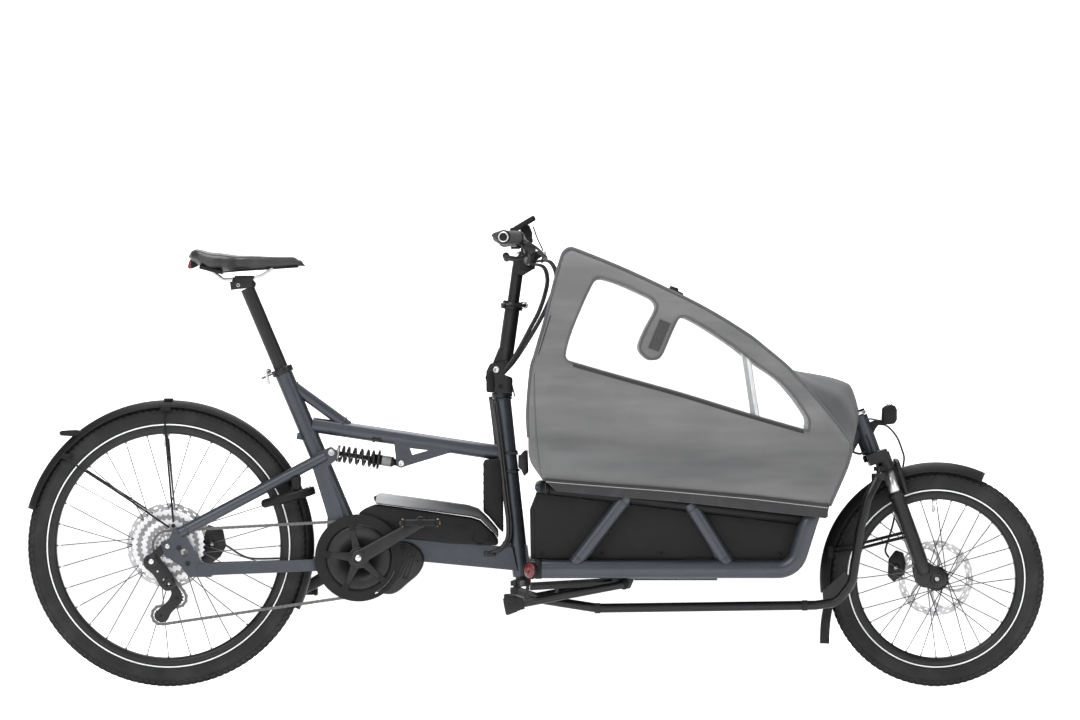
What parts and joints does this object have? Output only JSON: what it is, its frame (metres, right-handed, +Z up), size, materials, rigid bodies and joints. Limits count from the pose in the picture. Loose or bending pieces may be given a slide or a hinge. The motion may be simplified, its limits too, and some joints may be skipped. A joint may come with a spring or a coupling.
{
  "type": "cargo bicycle",
  "caption": "Front-loading cargo bicycle with a covered box, linkage steering, rear suspension, mid motor and kickstand.",
  "frame": {"origin": "on the ground at mid length and mid width", "axes": "+X forwards, +Y to the rider's left, +Z up"},
  "size_m": [2.4191, 0.6876, 1.1229],
  "materials": {
    "frame_paint": "matte",
    "black_metal": "satin",
    "black_plastic": "textured",
    "grey_plastic": "satin",
    "bare_alloy": "satin",
    "bare_steel": "brushed",
    "tyre_rubber": "matte",
    "grip_rubber": "matte",
    "cover_fabric": "woven",
    "bench_fabric": "woven",
    "clear_film": "clear",
    "saddle_leather": "satin",
    "reflector_red": "gloss",
    "cable_black": "satin"
  },
  "bodies": {
    "frame": {"rear_frame": "frame_paint", "cargo_frame": "frame_paint", "motor": "black_metal", "battery": "black_plastic", "battery_lid": "grey_plastic", "seat_collar": "black_metal", "box_panels": "black_plastic", "bench_pads": "bench_fabric", "rain_cover": "cover_fabric", "cover_windows": "clear_film", "cover_poles": "bare_alloy", "bearings": "bare_steel", "reflectors": "reflector_red", "frame_hoses": "cable_black", "chain": "bare_steel"},
    "seat": {"seat_post": "black_metal", "saddle": "saddle_leather"},
    "seat_lever": {"seat_lever": "bare_alloy"},
    "swingarm": {"swingarm": "frame_paint", "rear_fender": "black_plastic", "rear_caliper": "black_metal", "ring_lock": "black_plastic", "derailleur": "black_metal", "shock_coil": "black_metal"},
    "lock_shackle": {"lock_shackle": "bare_steel"},
    "rear_wheel": {"rear_tyre": "tyre_rubber", "rear_rim": "black_metal", "rear_hub": "bare_steel"},
    "cassette": {"cassette": "bare_steel"},
    "derailleur_cage": {"derailleur_cage": "black_metal"},
    "guide_pulley": {"guide_pulley": "black_plastic"},
    "tension_pulley": {"tension_pulley": "black_plastic"},
    "shock_body": {"shock_body": "bare_alloy"},
    "shock_shaft": {"shock_shaft": "bare_steel"},
    "crank": {"crankset": "black_metal", "chainring": "black_metal"},
    "pedal_right": {"pedal_right": "black_plastic"},
    "pedal_left": {"pedal_left": "black_plastic"},
    "steering": {"steering_shaft": "black_metal"},
    "tie_rod": {"tie_rod": "black_metal"},
    "stem": {"stem_tube": "black_metal"},
    "height_lever": {"height_lever": "bare_alloy"},
    "bar": {"bar_post": "black_metal", "handlebar": "black_metal", "grips": "grip_rubber", "lever_bodies": "black_plastic", "display": "black_plastic", "bar_cables": "cable_black"},
    "brake_lever_right": {"brake_lever_right": "black_metal"},
    "brake_lever_left": {"brake_lever_left": "black_metal"},
    "shift_lever": {"shift_lever": "black_plastic"},
    "fork": {"fork_crown": "black_metal", "headlight": "black_plastic"},
    "fork_lowers": {"fork_lowers": "frame_paint", "front_fender": "black_plastic", "front_caliper": "black_metal"},
    "front_wheel": {"front_tyre": "tyre_rubber", "front_rim": "black_metal", "front_hub": "bare_steel"},
    "kickstand": {"kickstand": "black_metal"}
  },
  "joints": [
    {"name": "steering", "type": "hinge", "parent": "frame", "child": "steering", "pos_m": [-0.039, 0, 0.34], "axis": [-0.1054, 0, 0.9944], "range_deg": [-24, 24]},
    {"name": "rod_turn", "type": "hinge", "parent": "steering", "child": "tie_rod", "pos_m": [-0.043, -0.11, 0.23], "axis": [-0.1053, 0.0298, 0.994], "range_deg": [-24, 24]},
    {"name": "stem_tilt", "type": "hinge", "parent": "steering", "child": "stem", "pos_m": [-0.09, 0, 0.754], "axis": [0, 1, 0], "range_deg": [-12, 0]},
    {"name": "bar_height", "type": "slide", "parent": "stem", "child": "bar", "axis": [0.1373, 0, 0.9905], "range_m": [-0.02, 0.06]},
    {"name": "height_lever_turn", "type": "hinge", "parent": "stem", "child": "height_lever", "pos_m": [-0.02195, 0, 0.9066], "axis": [0, 1, 0], "range_deg": [0, 60]},
    {"name": "fork_turn", "type": "hinge", "parent": "frame", "child": "fork", "pos_m": [0.778, 0, 0.625], "axis": [-0.342, 0, 0.9397], "range_deg": [-24, 24]},
    {"name": "fork_travel", "type": "slide", "parent": "fork", "child": "fork_lowers", "axis": [-0.342, 0, 0.9397], "range_m": [0, 0.025], "stiffness_N_per_m": 9000, "springref_m": -0.02},
    {"name": "front_wheel_spin", "type": "hinge", "parent": "fork_lowers", "child": "front_wheel", "pos_m": [0.957, 0, 0.257], "axis": [0, 1, 0], "continuous": true},
    {"name": "swingarm_pivot", "type": "hinge", "parent": "frame", "child": "swingarm", "pos_m": [-0.478, 0, 0.3], "axis": [0, 1, 0], "range_deg": [0, 5], "stiffness_Nm_per_rad": 4200, "springref_deg": -2.86, "deforming": ["shock_coil", "chain"]},
    {"name": "rear_wheel_spin", "type": "hinge", "parent": "swingarm", "child": "rear_wheel", "pos_m": [-0.87, 0, 0.335], "axis": [0, 1, 0], "continuous": true},
    {"name": "cassette_spin", "type": "hinge", "parent": "swingarm", "child": "cassette", "pos_m": [-0.87, 0, 0.335], "axis": [0, 1, 0], "continuous": true},
    {"name": "cage_pivot", "type": "hinge", "parent": "swingarm", "child": "derailleur_cage", "pos_m": [-0.866, 0, 0.246], "axis": [0, 1, 0], "range_deg": [-10, 10]},
    {"name": "guide_pulley_spin", "type": "hinge", "parent": "derailleur_cage", "child": "guide_pulley", "pos_m": [-0.848, 0, 0.212], "axis": [0, 1, 0], "continuous": true},
    {"name": "tension_pulley_spin", "type": "hinge", "parent": "derailleur_cage", "child": "tension_pulley", "pos_m": [-0.886, 0, 0.171], "axis": [0, 1, 0], "continuous": true},
    {"name": "lock_turn", "type": "hinge", "parent": "swingarm", "child": "lock_shackle", "pos_m": [-0.59, 0, 0.449], "axis": [-0.2588, 0, 0.9659], "range_deg": [0, 80]},
    {"name": "shock_swing", "type": "hinge", "parent": "frame", "child": "shock_body", "pos_m": [-0.316, 0, 0.531], "axis": [0, 1, 0], "range_deg": [-3, 3]},
    {"name": "shock_travel", "type": "slide", "parent": "shock_body", "child": "shock_shaft", "axis": [0.988, 0, -0.1547], "range_m": [0, 0.04]},
    {"name": "crank_spin", "type": "hinge", "parent": "frame", "child": "crank", "pos_m": [-0.417, 0, 0.307], "axis": [0, 1, 0], "continuous": true},
    {"name": "pedal_right_spin", "type": "hinge", "parent": "crank", "child": "pedal_right", "pos_m": [-0.26978, 0, 0.392], "axis": [0, 1, 0], "continuous": true},
    {"name": "pedal_left_spin", "type": "hinge", "parent": "crank", "child": "pedal_left", "pos_m": [-0.56422, 0, 0.222], "axis": [0, 1, 0], "continuous": true},
    {"name": "seat_height", "type": "slide", "parent": "frame", "child": "seat", "axis": [-0.3907, 0, 0.9205], "range_m": [-0.1, 0.06]},
    {"name": "seat_lever_turn", "type": "hinge", "parent": "frame", "child": "seat_lever", "pos_m": [-0.632, 0, 0.75], "axis": [0, 1, 0], "range_deg": [0, 70]},
    {"name": "brake_right", "type": "hinge", "parent": "bar", "child": "brake_lever_right", "pos_m": [-0.022, -0.206, 1.023], "axis": [0.9671, -0.2545, 0], "range_deg": [0, 9], "stiffness_Nm_per_rad": 2, "springref_deg": -2.86},
    {"name": "brake_left", "type": "hinge", "parent": "bar", "child": "brake_lever_left", "pos_m": [-0.022, 0.206, 1.023], "axis": [-0.9671, -0.2545, 0], "range_deg": [0, 9], "stiffness_Nm_per_rad": 2, "springref_deg": -2.86},
    {"name": "shift_push", "type": "hinge", "parent": "bar", "child": "shift_lever", "pos_m": [-0.03592, -0.19377, 1.042], "axis": [0, 0, 1], "range_deg": [0, 18], "stiffness_Nm_per_rad": 0.5, "springref_deg": -2.86},
    {"name": "kickstand_turn", "type": "hinge", "parent": "frame", "child": "kickstand", "pos_m": [0.212, 0, 0.248], "axis": [0, -1, 0], "range_deg": [0, 105]}
  ],
  "couplings": [
    {"joint": "rod_turn", "follows": "steering", "ratio": -1},
    {"joint": "fork_turn", "follows": "steering", "ratio": 1},
    {"joint": "cassette_spin", "follows": "crank_spin", "ratio": 2.4444},
    {"joint": "guide_pulley_spin", "follows": "crank_spin", "ratio": -4},
    {"joint": "tension_pulley_spin", "follows": "crank_spin", "ratio": 4},
    {"joint": "shock_travel", "follows": "swingarm_pivot", "m_per_rad": 0.25455},
    {"joint": "shock_swing", "follows": "swingarm_pivot", "ratio": 0.22373}
  ]
}
